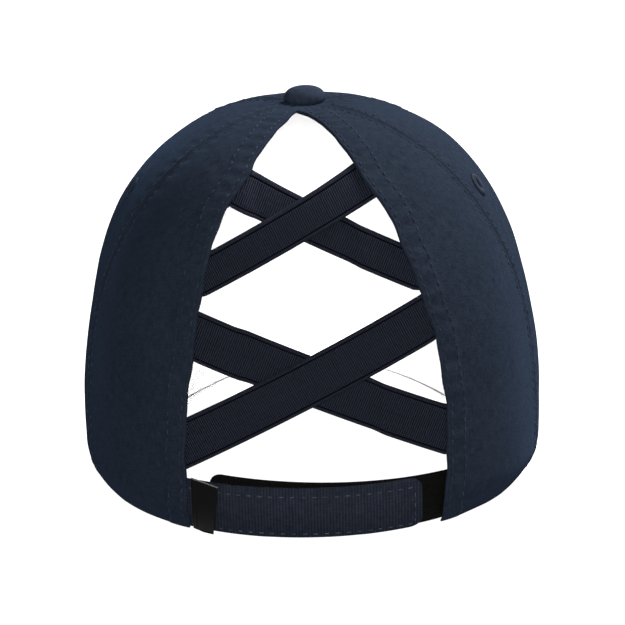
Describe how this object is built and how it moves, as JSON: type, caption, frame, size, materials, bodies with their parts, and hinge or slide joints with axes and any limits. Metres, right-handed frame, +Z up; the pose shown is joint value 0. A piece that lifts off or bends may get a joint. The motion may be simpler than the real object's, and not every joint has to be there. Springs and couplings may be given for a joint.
{
  "type": "ponytail baseball cap",
  "caption": "Cloth cap with a curved peak, a tall back opening for a ponytail crossed by elastic bands, and a closing strap at the hem.",
  "frame": {"origin": "on the surface the cap rests on, under the middle of its box", "axes": "+Z up, +Y towards the back with the opening, +X towards the wearer's left"},
  "size_m": [0.1704, 0.2578, 0.1508],
  "materials": {
    "navy_cloth": "matte twill",
    "navy_thread": "close embroidery",
    "navy_elastic": "matte ribbed elastic",
    "black_tape": "matte loop pile",
    "black_label": "smooth woven"
  },
  "bodies": {
    "root": {"back_panel_left": "navy_cloth", "back_panel_right": "navy_cloth", "side_panel_left": "navy_cloth", "side_panel_right": "navy_cloth", "front_panel_left": "navy_cloth", "front_panel_right": "navy_cloth", "eyelet_left": "navy_thread", "eyelet_right": "navy_thread", "top_button": "navy_cloth", "upper_band_over": "navy_elastic", "upper_band_under": "navy_elastic", "lower_band_over": "navy_elastic", "lower_band_under": "navy_elastic", "closing_strap": "navy_cloth", "fastening_strap": "black_tape", "side_label": "black_label", "peak": "navy_cloth"}
  },
  "joints": []
}
